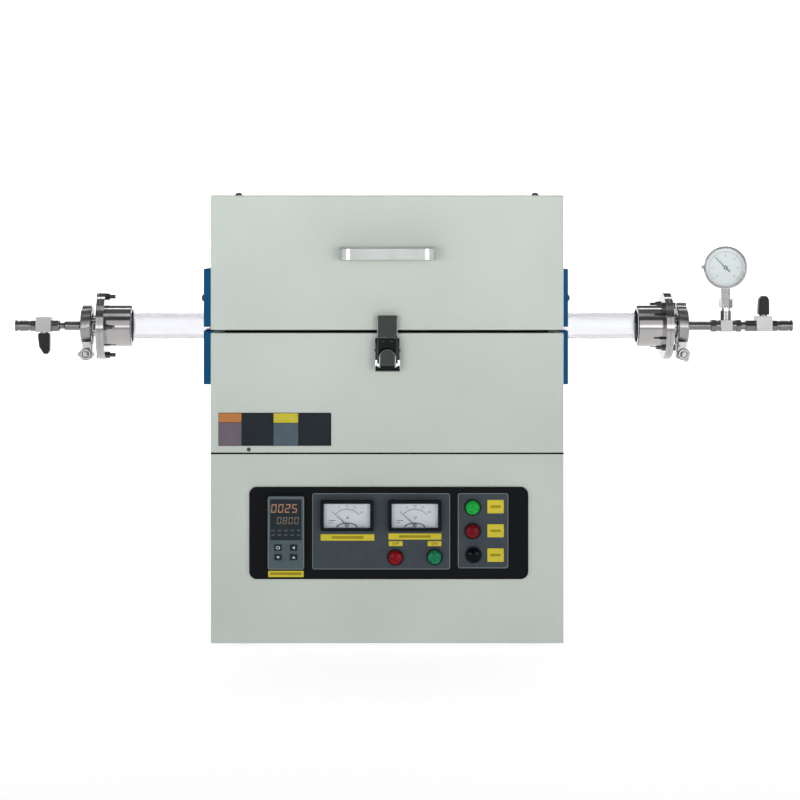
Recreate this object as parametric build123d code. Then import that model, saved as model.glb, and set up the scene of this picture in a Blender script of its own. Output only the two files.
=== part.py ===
from build123d import *
import math
import os

os.makedirs("parts", exist_ok=True)

# ---------------------------------------------------------------- dimensions
# Everything is in millimetres.  The shapes are drawn in the cabinet's own
# frame: x = 0 and y = 0 in the middle of the cabinet, z = 0 under the feet,
# the front looks along -Y.  save() then shifts every piece by OX, OY so that
# the origin is the middle of the whole object's footprint.
OX, OY = -27.4, 11.0

W = 466.0            # width of the three stacked boxes
D = 360.0            # depth
T = 1.5              # sheet thickness
YF, YR = -D / 2, D / 2
XR = W / 2
FOOT = 6.0           # height of the rubber feet
Z_CAB0 = FOOT        # cabinet, lower edge
Z_CAB1 = 256.0       # cabinet, top deck
Z_LOW0 = 257.4       # lower furnace half, lower edge of its walls
Z_LOW1 = 415.3       # lower furnace half, upper edge
Z_LID0 = 419.8       # lid, lower edge
Z_LID1 = 597.4       # lid, top
ZA = 417.6           # height of the work tube's axis
R_EDGE = 2.0         # bend radius of the folded sheet

# heating chamber
INS_X, INS_Y = 225.0, 165.0        # half sizes of the fibre blocks
LIP_X, LIP_Y = 215.9, 150.9        # half sizes where they pass the rim
RIM_X, RIM_Y = 216.0, 151.0        # half sizes of the opening in the rim
CH_R, CH_L = 36.0, 160.0           # chamber radius and half length
ROD_R = 4.0                        # coil envelope of the heating element
N_ROD = 7                          # runs of the element in each half
ROD_L = 145.0                      # half length of a run
TUBE_RO, TUBE_RI, TUBE_L = 18.5, 15.5, 395.8   # quartz tube, half length
COV = 14.7                         # how far the port covers stand out

# hinge
HY, HZ, HR = 187.0, 417.6, 6.0     # axis and barrel radius
HX = (-150.0, 150.0)

# control plate and its fittings
CP = (-182.0, 186.0, 91.0, 212.6)  # x0, x1, z0, z1
CP_T = 2.0
YP = YF - CP_T                     # front of the control plate
INLAY = 0.6
YI = YP - INLAY                    # front of the grey inlays
CTRL = (-133.45, 152.8)            # centre of the controller, 48 x 96
AM = (-53.1, 175.5)                # centre of the ammeter, 70 x 40
VM = (36.2, 175.5)                 # centre of the voltmeter
BTN_RED, BTN_GREEN = (10.7, 119.9), (62.3, 120.4)
LAMP_GREEN, LAMP_RED, BTN_BLACK = (112.5, 185.7), (112.5, 154.5), (113.6, 123.2)
KEYS = {"key_set": (-143.8, 133.6), "key_shift": (-123.2, 133.6),
        "key_down": (-143.8, 121.0), "key_up": (-123.2, 121.0)}


# ------------------------------------------------------------------- helpers
def box(x0, x1, y0, y1, z0, z1):
    return Pos((x0 + x1) / 2, (y0 + y1) / 2, (z0 + z1) / 2) * Box(
        abs(x1 - x0), abs(y1 - y0), abs(z1 - z0))


def cx(r, x0, x1, y=0.0, z=ZA):
    return Pos((x0 + x1) / 2, y, z) * Rot(0, 90, 0) * Cylinder(r, abs(x1 - x0))


def cy(r, y0, y1, x=0.0, z=0.0):
    return Pos(x, (y0 + y1) / 2, z) * Rot(90, 0, 0) * Cylinder(r, abs(y1 - y0))


def cz(r, z0, z1, x=0.0, y=0.0):
    return Pos(x, y, (z0 + z1) / 2) * Cylinder(r, abs(z1 - z0))


def rev_x(pts, y=0.0, z=ZA):
    """Revolve (x, r) points about a line along X."""
    face = make_face(Polyline(*[(p[0], p[1], 0) for p in pts], close=True))
    return Pos(0, y, z) * revolve(face, Axis.X, 360)


def rev_y(pts, x, z):
    """Revolve (y, r) points about a line along Y."""
    face = make_face(Polyline(*[(p[1], p[0], 0) for p in pts], close=True))
    return Pos(x, 0, z) * revolve(face, Axis.Y, 360)


def rev_z(pts, x, y):
    """Revolve (z, r) points about a line along Z."""
    face = make_face(Polyline(*[(p[1], 0, p[0]) for p in pts], close=True))
    return Pos(x, y, 0) * revolve(face, Axis.Z, 360)


def plate_xz(w, h, r, y0, y1, x, z):
    """Rounded plate in the XZ plane between y0 and y1."""
    s = Plane.XZ * RectangleRounded(w, h, r) if r > 0 else Plane.XZ * Rectangle(w, h)
    return Pos(x, max(y0, y1), z) * extrude(s, abs(y1 - y0))   # Plane.XZ faces -Y


def prism_x(pts, x0, x1):
    """Prism along X of a (y, z) outline."""
    face = make_face(Polyline(*[(0, p[0], p[1]) for p in pts], close=True))
    return Pos(min(x0, x1), 0, 0) * extrude(face, abs(x1 - x0), dir=(1, 0, 0))


def prism_y(pts, y0, y1):
    """Prism along Y of an (x, z) outline."""
    face = make_face(Polyline(*[(p[0], 0, p[1]) for p in pts], close=True))
    return Pos(0, min(y0, y1), 0) * extrude(face, abs(y1 - y0), dir=(0, 1, 0))


def prism_z(pts, z0, z1):
    """Prism along Z of an (x, y) outline."""
    face = make_face(Polyline(*[(p[0], p[1], 0) for p in pts], close=True))
    return Pos(0, 0, min(z0, z1)) * extrude(face, abs(z1 - z0), dir=(0, 0, 1))


def hex_x(af, x0, x1, y=0.0, z=ZA):
    s = Plane.YZ * RegularPolygon(af / math.sqrt(3), 6)
    return Pos(min(x0, x1), y, z) * extrude(s, abs(x1 - x0))


def hex_z(af, z0, z1, x=0.0, y=0.0):
    s = RegularPolygon(af / math.sqrt(3), 6)
    return Pos(x, y, min(z0, z1)) * extrude(s, abs(z1 - z0))


def dome_screw(x, y, z, d, r=3.6, h=2.4):
    """Pan-head screw whose head stands out of a surface along d."""
    pts = [(0, 0), (0, r), (h * 0.45, r), (h * 0.8, r * 0.7), (h, r * 0.35), (h, 0)]
    s = make_face(Polyline(*[(p[1], 0, p[0]) for p in pts], close=True))
    s = revolve(s, Axis.Z, 360)
    s = s - box(-r * 0.62, r * 0.62, -0.45, 0.45, h - 0.9, h + 1) \
          - box(-0.45, 0.45, -r * 0.62, r * 0.62, h - 0.9, h + 1)
    return Plane(origin=(x, y, z), z_dir=d) * s


def mirror_x(s):
    return mirror(s, Plane.YZ)


def mirror_split(s):
    """Mirror through the horizontal plane of the tube axis."""
    return mirror(s, Plane(origin=(0, 0, ZA), z_dir=(0, 0, 1)))


saved = {}


def save(name, *shapes):
    solids = []
    for s in shapes:
        solids += list(s.solids())
    for s in solids:
        assert s.is_valid and s.volume > 0, name
    moved = [s.moved(Location((OX, OY, 0))) for s in solids]
    saved[name] = moved
    export_step(moved[0] if len(moved) == 1 else Compound(moved), f"parts/{name}.step")


# ------------------------------------------------------------------- cabinet
outer = box(-XR, XR, YF, YR, Z_CAB0, Z_CAB1)
outer = fillet(outer.edges().filter_by(Axis.Z), R_EDGE)
cab = outer - box(-XR + T, XR - T, YF + T, YR + 1, Z_CAB0 - 1, Z_CAB1 - T)
cab -= box(CP[0] + 6, CP[1] - 6, YF - 1, YF + T + 1, CP[2] + 6, CP[3] - 6)
for i in range(9):                                     # cooling slots, both sides
    z = 60 + i * 9
    cab -= box(-XR - 1, XR + 1, 20, 110, z, z + 3.2)
TAIL = [(-ROD_L, math.cos(math.radians(200)) * CH_R), (ROD_L, math.cos(math.radians(340)) * CH_R)]
TC_Y = CH_R * math.cos(math.radians(258.33))
for x, y in TAIL:                                      # element leads pass the deck
    cab -= cz(6, Z_CAB1 - 5, Z_CAB1 + 1, x, y)
cab -= cz(4, Z_CAB1 - 5, Z_CAB1 + 1, 0, TC_Y)
save("cabinet_shell", cab)

pan = box(-XR + T, XR - T, YF + T, YR - T, Z_CAB0, Z_CAB0 + 15) \
    - box(-XR + 2 * T, XR - 2 * T, YF + 2 * T, YR, Z_CAB0 + T, Z_CAB0 + 20)
for x in (-190, 190):
    for y in (-140, 140):
        pan -= cz(2.5, Z_CAB0 - 1, Z_CAB0 + T + 1, x, y)
for i in range(10):                                    # air inlet under the cabinet
    pan -= box(-60 + i * 12, -56 + i * 12, -60, 20, Z_CAB0 - 1, Z_CAB0 + T + 1)
save("base_pan", pan)

feet = []
for x in (-190, 190):
    for y in (-140, 140):
        f = rev_z([(0, 0), (0, 10.5), (1.2, 11.5), (FOOT, 13), (FOOT, 2.4), (FOOT + T + 2, 2.4),
                   (FOOT + T + 2, 0)], x, y)
        feet.append(f)
save("rubber_feet", *feet)

FAN = (120.0, 150.0)
INLET = (-160.0, 60.0)
rear = box(-XR + T, XR - T, YR - T, YR, Z_CAB0, Z_CAB1 - T)
for i in range(-6, 7):                                 # finger guard of the fan
    z = FAN[1] + i * 5.4
    half = math.sqrt(max(36.0 ** 2 - (i * 5.4) ** 2, 1))
    for a, b in ((-half, -1.5), (1.5, half)):
        rear -= box(FAN[0] + a, FAN[0] + b, YR - 5, YR + 1, z - 1.6, z + 1.6)
for i in range(12):                                    # vent slots
    rear -= box(-110, 40, YR - 5, YR + 1, 130 + i * 8, 133.2 + i * 8)
rear -= box(INLET[0] - 14, INLET[0] + 14, YR - 5, YR + 1, INLET[1] - 10.5, INLET[1] + 10.5)
save("cabinet_rear_panel", rear)

# -------------------------------------------------------- lower furnace half
low = box(-XR, XR, YF, YR, Z_LOW0, Z_LOW1)
low = fillet(low.edges().filter_by(Axis.Z), R_EDGE)
low -= box(-XR + T, XR - T, YF + T, YR - T, Z_LOW0 - 1, Z_LOW1 - T)
low += box(-XR + T, XR - T, YF + T, YR - T, Z_CAB1, Z_CAB1 + 2.9)      # floor plate
low -= box(-RIM_X, RIM_X, -RIM_Y, RIM_Y, Z_LOW1 - T - 1, Z_LOW1 + 1)   # rim opening
low -= cx(20.5, -XR - 1, -RIM_X + 1) + cx(20.5, RIM_X - 1, XR + 1)
for x, y in TAIL:
    low -= cz(6, Z_CAB1 - 1, Z_CAB1 + 4, x, y)
low -= cz(4, Z_CAB1 - 1, Z_CAB1 + 4, 0, TC_Y)
save("lower_furnace_shell", low)


def rod_angles():
    return [200 + i * 140 / (N_ROD - 1) for i in range(N_ROD)]


def rod_yz(a, r=CH_R):
    return r * math.cos(math.radians(a)), ZA + r * math.sin(math.radians(a))


def fibre_lower(z_top, tube_r):
    z_floor = Z_CAB1 + 2.9
    b = box(-INS_X, INS_X, -INS_Y, INS_Y, z_floor, Z_LOW1 - T)
    b += box(-LIP_X, LIP_X, -LIP_Y, LIP_Y, Z_LOW1 - T - 1, z_top)
    b -= cx(tube_r, -INS_X - 1, INS_X + 1)
    b -= cx(CH_R, -CH_L, CH_L)
    for s in (-1, 1):
        b -= cx(41.5, s * (ROD_L - 3), s * 159.0)
    for a in rod_angles():
        y, z = rod_yz(a)
        b -= cx(ROD_R + 0.2, -CH_L + 8, CH_L - 8, y, z)
    for x, y in TAIL:
        b -= cz(3.3, z_floor - 1, ZA - 10, x, y)
    return b


fib = fibre_lower(ZA - 0.3, TUBE_RO + 0.05)
fib -= cz(2.5, Z_CAB1, ZA - 30, 0, TC_Y)
save("lower_insulation", fib)


def element_lower(z_tail):
    pts = [rod_yz(a) for a in rod_angles()]
    e = None
    for y, z in pts:
        r = cx(ROD_R, -ROD_L, ROD_L, y, z)
        e = r if e is None else e + r
    for i in range(N_ROD - 1):
        (y0, z0), (y1, z1) = pts[i], pts[i + 1]
        s = 1 if i % 2 == 0 else -1
        half = math.dist((y0, z0), (y1, z1)) / 2
        t = Torus(half, ROD_R)
        t = t & box(0, 50, -50, 50, -50, 50)
        chord = Vector(0, (y1 - y0), (z1 - z0)).normalized()
        xd = Vector(s, 0, 0)
        p = Plane(origin=(s * ROD_L, (y0 + y1) / 2, (z0 + z1) / 2), x_dir=xd, z_dir=xd.cross(chord))
        e += p * t
    for (x, y), k in zip(TAIL, (0, N_ROD - 1)):
        e += cz(3.0, z_tail, pts[k][1], x, y)
        e += Pos(x, y, pts[k][1]) * Sphere(ROD_R)
    return e


save("lower_heating_element", element_lower(244.0))

covers = []
for s in (1, -1):
    c = box(XR, XR + COV, -100, 100, 342.0, Z_LOW1 - 0.5)
    c = fillet(c.edges().filter_by(Axis.X), 2.0)
    c -= box(XR - 1, XR + COV - 2, -98, 98, 344.0, Z_LOW1 - 2.5)
    c -= cx(21.0, XR - 1, XR + COV + 1)
    covers.append(c if s > 0 else mirror_x(c))
save("lower_port_covers", *covers)

# ----------------------------------------------------------------------- lid
lid = box(-XR, XR, YF, YR, Z_LID0, Z_LID1)
lid = fillet(lid.edges().filter_by(Axis.Z) + lid.faces().sort_by(Axis.Z)[-1].edges(), R_EDGE)
lid -= box(-XR + T, XR - T, YF + T, YR - T, Z_LID0 + T, Z_LID1 - T)
lid -= box(-RIM_X, RIM_X, -RIM_Y, RIM_Y, Z_LID0 - 1, Z_LID0 + T + 1)
lid -= cx(20.5, -XR - 1, -RIM_X + 1) + cx(20.5, RIM_X - 1, XR + 1)
save("lid_shell", lid)

Z_FIB_TOP = 2 * ZA - (Z_CAB1 + 2.9)
ub = box(-INS_X, INS_X, -INS_Y, INS_Y, Z_LID0 + T, Z_FIB_TOP)
ub += box(-LIP_X, LIP_X, -LIP_Y, LIP_Y, ZA + 0.3, Z_LID0 + T + 1)
ub -= cx(TUBE_RO + 0.6, -INS_X - 1, INS_X + 1)
ub -= cx(CH_R, -CH_L, CH_L)
for s in (-1, 1):
    ub -= cx(41.5, s * (ROD_L - 3), s * 159.0)
for a in rod_angles():
    y, z = rod_yz(-a)
    ub -= cx(ROD_R + 0.2, -CH_L + 8, CH_L - 8, y, z)
for x, y in TAIL:
    ub -= cz(3.3, ZA + 10, Z_FIB_TOP + 1, x, y)
save("upper_insulation", ub)
save("upper_heating_element", mirror_split(element_lower(2 * ZA - 588.0)))

covers = []
for s in (1, -1):
    c = box(XR, XR + COV, -100, 100, Z_LID0 + 0.5, 499.0)
    c = fillet(c.edges().filter_by(Axis.X), 2.0)
    c -= box(XR - 1, XR + COV - 2, -98, 98, Z_LID0 + 2.5, 497.0)
    c -= cx(21.0, XR - 1, XR + COV + 1)
    covers.append(c if s > 0 else mirror_x(c))
save("upper_port_covers", *covers)

# pull handle: a flat bar bent to a U, on edge
HW, HP, HT, HH, HRAD = 63.4, 35.0, 6.0, 17.0, 15.0
HZC = 519.9
so = Pos(0, YF - HP / 2 + 10) * RectangleRounded(2 * HW, HP + 20, HRAD)
si = Pos(0, YF - HP / 2 + HT / 2 + 10) * RectangleRounded(2 * (HW - HT), HP - HT + 20, HRAD - HT)
hb = extrude(so - si, HH)
hb = hb & box(-HW - 1, HW + 1, YF - HP - 1, YF, -1, HH + 1)
hb = fillet(hb.edges().filter_by(Axis.Z, reverse=True).filter_by(lambda e: e.center().Y < YF - 0.5), 1.6)
save("lid_handle", Pos(0, 0, HZC - HH / 2) * hb)

screws = [dome_screw(x, y, Z_LID1, (0, 0, 1), 4.6, 4.0) for x in (-197, 197) for y in (-160, 160)]
screws += [dome_screw(s * (XR + COV), y, 459.5, (s, 0, 0), 4.5, 3.4) for s in (-1, 1) for y in (-90, 90)]
screws += [dome_screw(x + dx, YR + 2.5, 442, (0, 1, 0), 3.2, 1.8) for x in HX for dx in (-22, 22)]
save("lid_screws", *screws)

# ------------------------------------------------------------------- hinges
lower_leaves, upper_leaves, pins = [], [], []
for x in HX:
    a = box(x - 35, x + 35, YR, YR + 2.5, 375, HZ - 7.1)
    b = box(x - 35, x + 35, YR, YR + 2.5, HZ + 7.1, 460)
    for x0, x1 in ((x - 35, x - 12), (x + 12, x + 35)):
        a += box(x0, x1, YR, YR + 2.5, HZ - 8, HZ) + cx(HR, x0, x1, HY, HZ)
    b += box(x - 11.7, x + 11.7, YR, YR + 2.5, HZ, HZ + 8) + cx(HR, x - 11.7, x + 11.7, HY, HZ)
    a -= cx(2.5, x - 36, x + 36, HY, HZ)
    b -= cx(2.55, x - 36, x + 36, HY, HZ)
    lower_leaves.append(a)
    upper_leaves.append(b)
    pins.append(cx(2.5, x - 35, x + 35, HY, HZ) + cx(3.6, x - 36.5, x - 35, HY, HZ)
                + cx(3.6, x + 35, x + 36.5, HY, HZ))
save("hinge_lower_leaves", *lower_leaves)
save("hinge_upper_leaves", *upper_leaves)
save("hinge_pins", *pins)

# -------------------------------------------------------------------- latch
PV = (-189.0, 393.0)          # lever pivot (y, z)
PL = (-186.0, 384.0)          # link pin
base = box(-14.5, 14.5, YF - 1.5, YF, 369, 409)
for s in (-1, 1):
    ear = prism_x([(YF, 369), (YF, 409), (-188, 409), (-193.5, 403), (-193.5, 384), (-190, 369)],
                  s * 14.5, s * 16.0)
    ear = fillet(ear.edges().filter_by(Axis.Z).filter_by(lambda e: e.center().Y < -193), 0.7)
    base += ear
base -= cx(2.08, -17, 17, *PV)
save("latch_base", base)

# lever: a round-topped tongue with a bead along its edge, two swept-back wings
# and a curled finger lip; the hook's arms swing between tongue and cheeks
lev = box(-11.5, 11.5, -196.0, -194.5, 370, 384) + cy(11.5, -196.0, -194.5, 0, 384)
lev += box(-14.3, 14.3, -196.0, -194.5, 370, 376.5)
for s in (-1, 1):
    lev += prism_z([(s * 10.5, -196.7), (s * 16.2, -195.5), (s * 16.2, -194.0), (s * 10.5, -194.9)], 369.0, 376.5)
    lev += prism_z([(s * 13.45, -196.08), (s * 16.2, -195.5), (s * 16.2, -194.0), (s * 13.45, -194.4)], 376.5, 381.0)
bead = Pos(0, -196.0, 384.0) * Rot(90, 0, 0) * Torus(10.4, 1.1) & box(-12, 12, -199, -193, 384.0, 396)
for s in (-1, 1):
    bead += cz(1.1, 370.5, 384.0, s * 10.4, -196.0)
lev += bead
lev += prism_x([(-196.0, 373.0), (-194.5, 373.0), (-196.6, 368.4), (-201.5, 366.0), (-202.0, 367.3),
                (-197.7, 369.4)], -16, 16)
for s in (-1, 1):
    lev += prism_x([(-195.0, 370), (-195.0, 396.5), (-188.0, 396.5), (-184.0, 388), (-182.6, 383),
                    (-185, 380), (-193, 370)], s * 13.45, s * 14.3)
    lev += cx(2.0, s * 13.45, s * 17.0, *PV)
lev += cx(1.6, -14.0, 14.0, *PL)
save("latch_lever", lev)

hook = plate_xz(27, 29.1, 2.5, -190.5, -189.0, 0, 424.25)
hook = fillet(hook.faces().sort_by(Axis.Y)[0].edges(), 0.9)
hook += box(-13.0, 13.0, -190.0, -184.6, 437.3, 438.8)
for s in (-1, 1):
    hook += prism_x([(-189.5, 414), (-187.0, 414), (-185.0, 396), (-183.2, 386), (-183.2, 381.5),
                     (-188.8, 381.5), (-188.8, 396)], s * 11.9, s * 13.2)
hook -= cx(1.68, -17, 17, *PL)
save("latch_hook", hook)

keeper = plate_xz(22, 13, 1.0, YF - 1.5, YF, 0, 429.0)
keeper += box(-9, 9, YF - 4.2, YF, 430.8, 432.3) + box(-9, 9, YF - 4.2, YF - 3.0, 430.8, 434.8)
save("latch_keeper", keeper)

# ------------------------------------------------------------ control panel
plate = plate_xz(CP[1] - CP[0], CP[3] - CP[2], 10, YP, YF, (CP[0] + CP[1]) / 2, (CP[2] + CP[3]) / 2)
cut = box(CTRL[0] - 22.5, CTRL[0] + 22.5, YP - 3, YF + 1, CTRL[1] - 46, CTRL[1] + 46)
cut_m = None
for x, z in (AM, VM):
    b = box(x - 30, x + 30, YP - 3, YF + 1, z - 16.5, z + 16.5)
    cut_m = b if cut_m is None else cut_m + b
cut_b = None
for x, z in (BTN_RED, BTN_GREEN, LAMP_GREEN, LAMP_RED, BTN_BLACK):
    c = cy(8.1, YP - 3, YF + 1, x, z)
    cut_b = c if cut_b is None else cut_b + c
save("control_plate", plate - cut - cut_m - cut_b)

mid = plate_xz(181.9, 100.5, 3, YI, YP, -7.95, 154.25) - cut_m - cut_b
rgt = plate_xz(66.7, 99.0, 3, YI, YP, 126.35, 155.0) - cut_b
over = [mid, rgt]
YT = YI - 0.4
for x0, x1, z0, z1 in ((-87.8, -17.0, 142.0, 150.5), (1.5, 71.4, 143.4, 151.5),
                       (2.1, 20.3, 134.8, 141.4), (53.2, 71.4, 134.8, 141.4),
                       (132.0, 153.6, 178.0, 195.7), (132.0, 153.6, 146.4, 163.6),
                       (132.0, 153.6, 114.1, 131.8)):
    over.append(plate_xz(x1 - x0, z1 - z0, 0.8, YT, YI, (x0 + x1) / 2, (z0 + z1) / 2))
over.append(plate_xz(46.8, 8.3, 0.8, YP - 0.4, YP, -133.6, 98.0))
over.append(plate_xz(149.0, 43.8, 0.8, YF - 0.4, YF, -148.3, 288.5))
save("panel_overlays", *over)

# controller
bez = plate_xz(48, 96, 2.5, YP - 7, YP, *CTRL)
bez += box(CTRL[0] - 22.3, CTRL[0] + 22.3, YP - 1, -110, CTRL[1] - 45.8, CTRL[1] + 45.8)
bez -= box(CTRL[0] - 20.5, CTRL[0] + 20.5, YP - 8, YP - 5, 143.4, 197.0)
for x, z in KEYS.values():
    bez -= plate_xz(9.9, 8.2, 1.2, YP - 8, YP - 3, x, z)
save("controller_case", bez)
save("controller_window", box(CTRL[0] - 20.5, CTRL[0] + 20.5, YP - 6.5, YP - 5, 143.4, 197.0))
for name, (x, z) in KEYS.items():
    k = plate_xz(9.5, 7.8, 1.0, YP - 7.9, YP - 4.0, x, z)
    k = fillet(k.faces().sort_by(Axis.Y)[0].edges(), 0.4)
    save(name, k)

# analogue meters
cases, dials, glasses = [], [], []
for x, z in (AM, VM):
    c = plate_xz(70, 40, 2.0, YI - 9.4, YI, x, z)
    c += box(x - 29.5, x + 29.5, YI - 1, -150, z - 16, z + 16)
    c -= box(x - 30.5, x + 30.5, YI - 10, YI - 2.4, z - 16, z + 16)
    cases.append(c)
    d = box(x - 30.5, x + 30.5, YI - 3.2, YI - 2.4, z - 16, z + 16)
    d += cy(0.8, YI - 6.2, YI - 3.0, x, z - 12.5)
    dials.append(d)
    glasses.append(box(x - 30.5, x + 30.5, YI - 8.9, YI - 7.7, z - 16, z + 16))
NEEDLE0 = math.radians(-48)   # resting direction, from straight up


def needle(x, z, length, back, y0, y1, a, hub, w):
    u = (math.sin(a), math.cos(a))
    v = (math.cos(a), -math.sin(a))
    pts = [(x + u[0] * t + v[0] * s, z + u[1] * t + v[1] * s) for t, s in
           ((-back, -w), (length, -0.25), (length, 0.25), (-back, w))]
    return prism_y(pts, y0, y1) + cy(hub, y0 - 0.3, y1 + 0.3, x, z)


for name, (x, z) in (("ammeter_needle", AM), ("voltmeter_needle", VM)):
    n = needle(x, z - 12.5, 25.0, 1.0, YI - 5.2, YI - 4.8, NEEDLE0, 2.6, 0.7)
    n -= cy(0.85, YI - 9, YI, x, z - 12.5)
    save(name, n)

# push buttons and pilot lamps
bezels = []
for x, z in (BTN_RED, BTN_GREEN, LAMP_GREEN, LAMP_RED, BTN_BLACK):
    b = rev_y([(YI - 3.2, 9.4), (YI - 3.2, 10.2), (YI - 2.4, 10.8), (YI, 10.8), (YI, 8.0), (-160, 8.0),
               (-160, 0), (-163, 0), (-163, 7.0), (YI - 0.05, 7.0), (YI - 0.05, 9.4)], x, z)
    b += cy(9.5, YF + T + 3, YF + T, x, z) - cy(8.0, YF + T + 4, YF + T - 1, x, z)
    bezels.append(b)
save("button_bezels", *bezels)


def cap(x, z, front=5.6):
    return rev_y([(YI - front, 0), (YI - front + 0.15, 3.5), (YI - front + 0.9, 6.6),
                  (YI - front + 2.2, 8.6), (YI - front + 3.2, 9.3), (YI - 1.9, 9.3), (YI - 1.9, 6.92),
                  (-166, 6.92), (-166, 0)], x, z)


save("stop_button", cap(*BTN_RED))
save("start_button", cap(*BTN_GREEN))
save("black_button", cap(*BTN_BLACK, 6.4))
save("pilot_lamps", cap(*LAMP_GREEN), cap(*LAMP_RED))

# ------------------------------------------------------------- inner pieces
hs = box(-70, 50, 60, 68, 7.5, 105)
for i in range(11):
    hs += box(-70 + i * 11.75, -67.5 + i * 11.75, 68, 108, 7.5, 105)
scr = box(-40, 20, 28, 60, 30, 92)
for i in range(4):
    scr += cy(4, 22, 28, -31 + i * 14, 80)
save("power_regulator", hs, scr)

fh = box(FAN[0] - 40, FAN[0] + 40, YR - T - 25, YR - T, FAN[1] - 40, FAN[1] + 40)
fh -= cy(38, YR - T - 26, YR + 1, *FAN)
fh += box(FAN[0] - 39, FAN[0] + 39, YR - T - 4, YR - T, FAN[1] - 2, FAN[1] + 2)
fh += box(FAN[0] - 2, FAN[0] + 2, YR - T - 4, YR - T, FAN[1] - 39, FAN[1] + 39)
fh += cy(15, YR - T - 5, YR - T, *FAN)
fh += cy(2.0, YR - T - 20, YR - T - 4, *FAN)
save("fan_housing", fh)
rot = cy(16, YR - T - 24, YR - T - 6, *FAN)
for i in range(7):
    blade = box(14, 36, -0.9, 0.9, -8, 8)
    blade = Pos(0, 0, 0) * Rot(35, 0, 0) * blade           # pitched about its own span
    blade = Rot(0, i * 360 / 7, 0) * blade
    rot += Pos(FAN[0], YR - T - 15, FAN[1]) * blade
rot -= cy(2.05, YR - T - 20.5, YR, *FAN)
save("fan_rotor", rot)

inl = plate_xz(40, 28, 3, YR, YR + 3, *INLET)
inl += box(INLET[0] - 13.8, INLET[0] + 13.8, YR - 20, YR + 0.5, INLET[1] - 10.3, INLET[1] + 10.3)
inl -= box(INLET[0] - 12, INLET[0] + 12, YR - 16, YR + 4, INLET[1] - 8.4, INLET[1] + 8.4)
for dx, dz in ((-7, -4), (7, -4), (0, 4)):
    inl += box(INLET[0] + dx - 1, INLET[0] + dx + 1, YR - 17, YR, INLET[1] + dz - 2, INLET[1] + dz + 2)
save("power_inlet", inl)

save("thermocouple", cz(2.4, 252, ZA - 27, 0, TC_Y) + cz(10, 226, Z_CAB1 - T, 0, TC_Y)
     + cz(3.8, 250, 258, 0, TC_Y))

# ------------------------------------------------------------ work tube line
save("quartz_tube", cx(TUBE_RO, -TUBE_L, TUBE_L) - cx(TUBE_RI, -TUBE_L - 1, TUBE_L + 1))
save("tube_plugs", *[cx(TUBE_RI - 0.1, s * 172, s * 232) - cx(3, s * 171, s * 233) for s in (-1, 1)])

BOLT_R = 41.0


def bolt_places(side):
    a0 = 0 if side < 0 else 45
    return [(BOLT_R * math.cos(math.radians(a0 + 90 * k)), ZA + BOLT_R * math.sin(math.radians(a0 + 90 * k)))
            for k in range(4)]


sleeves, plates, rings, bolts = [], [], [], []
SL0, F0, F1, F2 = 354.5, 390.8, 396.3, 401.8   # sleeve end, flange face, joint, outer face
CXM = 418.0                                    # joint between end plate and gas pipe
FR = 47.0
for s in (-1, 1):
    sl = rev_x([(s * SL0, 23.0), (s * SL0, 28.0), (s * (SL0 + 1.2), 29.0), (s * F0, 29.0),
                (s * F0, FR), (s * F1, FR), (s * F1, 23.4), (s * (F1 - 5.0), 18.85),
                (s * (SL0 + 9), 18.85), (s * (SL0 + 9), 23.0)])
    ep = rev_x([(s * F1, 16.0), (s * F1, FR - 0.4), (s * (F1 + 0.5), FR), (s * (F2 - 0.6), FR), (s * F2, FR - 0.6),
                (s * F2, 14.5), (s * (CXM - 6.1), 14.5), (s * (CXM - 2.9), 20.0), (s * (CXM - 0.5), 20.0),
                (s * (CXM - 0.5), 12.5), (s * F2, 12.5), (s * (F2 - 2.5), 14.0), (s * (F1 + 1.5), 16.0)])
    for y, z in bolt_places(s):
        sl -= cx(2.8, s * (F0 - 1), s * (F1 + 1), y, z)
        ep -= cx(2.8, s * (F1 - 1), s * (F2 + 1), y, z)
        b = cx(2.7, s * (F0 - 12.2), s * F2, y, z)
        b += cx(4.6, s * F2, s * (F2 + 3.0), y, z) - hex_x(4.0, s * (F2 + 1.4), s * (F2 + 4), y, z)
        b += hex_x(8.6, s * (F0 - 4.4), s * F0, y, z)
        bolts.append(b)
    sleeves.append(sl)
    plates.append(ep)
    rings.append(Pos(s * (F1 - 1.42), 0, ZA) * Rot(0, 90, 0) * Torus(19.97, 1.4))
    rings.append(cx(14.6, s * (CXM - 0.5), s * (CXM + 0.5)) - cx(12.4, s * (CXM - 1), s * (CXM + 1)))
save("flange_sleeves", *sleeves)
save("flange_end_plates", *plates)
save("flange_bolts", *bolts)
save("flange_o_rings", *rings)

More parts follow.
